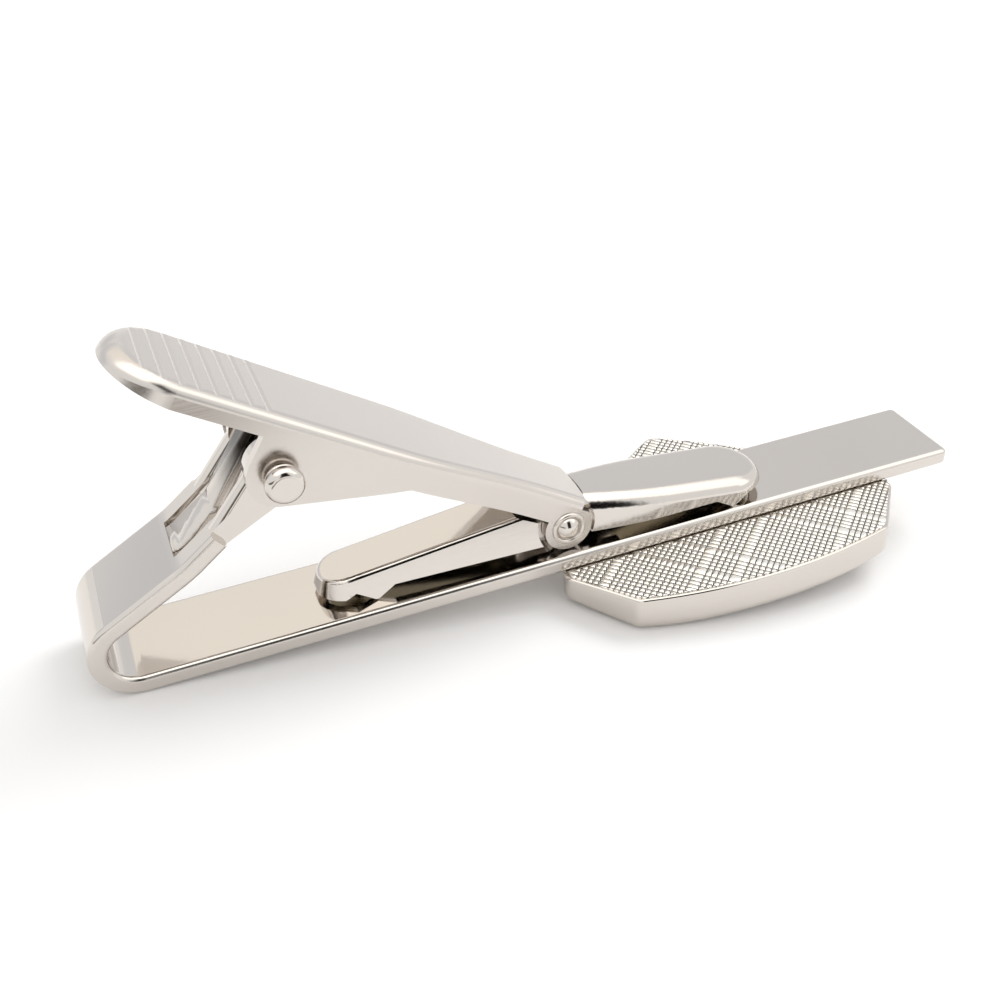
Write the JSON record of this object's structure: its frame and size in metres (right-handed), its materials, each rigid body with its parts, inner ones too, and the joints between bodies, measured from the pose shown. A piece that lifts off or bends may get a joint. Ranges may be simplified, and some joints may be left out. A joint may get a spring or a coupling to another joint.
{
  "type": "tie clip",
  "caption": "Sprung tie clip: a bent strip with a thumb lever and a see-saw toothed jaw that grips on its bar, and a shield-shaped plate under the bar.",
  "frame": {"origin": "under the middle of the clip's length, on the plane of the plate's front face", "axes": "+X along the bar towards its free end, +Z from the plate up through the bar to the lever, +Y across the bar towards the plate's point"},
  "size_m": [0.0551, 0.0165, 0.0218],
  "materials": {
    "polished_nickel": "polished nickel plating",
    "satin_nickel": "nickel plating, softly polished",
    "plated_solder": "rough nickel plating over solder"
  },
  "bodies": {
    "frame": {"bar_strip": "polished_nickel", "spring_tongue": "polished_nickel", "ornament_plate": "polished_nickel", "solder_seam": "plated_solder", "arm_pin": "polished_nickel"},
    "lever": {"thumb_lever": "satin_nickel", "jaw_rivet": "plated_solder"},
    "jaw": {"jaw": "polished_nickel"}
  },
  "joints": [
    {"name": "lever_pivot", "type": "hinge", "parent": "frame", "child": "lever", "pos_m": [-0.01595, 0, 0.0143], "axis": [0, -1, 0], "range_deg": [0, 28], "stiffness_Nm_per_rad": 0.02, "springref_deg": -57.3, "deforming": ["spring_tongue"]},
    {"name": "jaw_pivot", "type": "hinge", "parent": "lever", "child": "jaw", "pos_m": [0.00035, 0, 0.0053], "axis": [0, -1, 0], "range_deg": [-6, 0]}
  ],
  "couplings": [
    {"joint": "jaw_pivot", "follows": "lever_pivot", "ratio": -0.214}
  ]
}
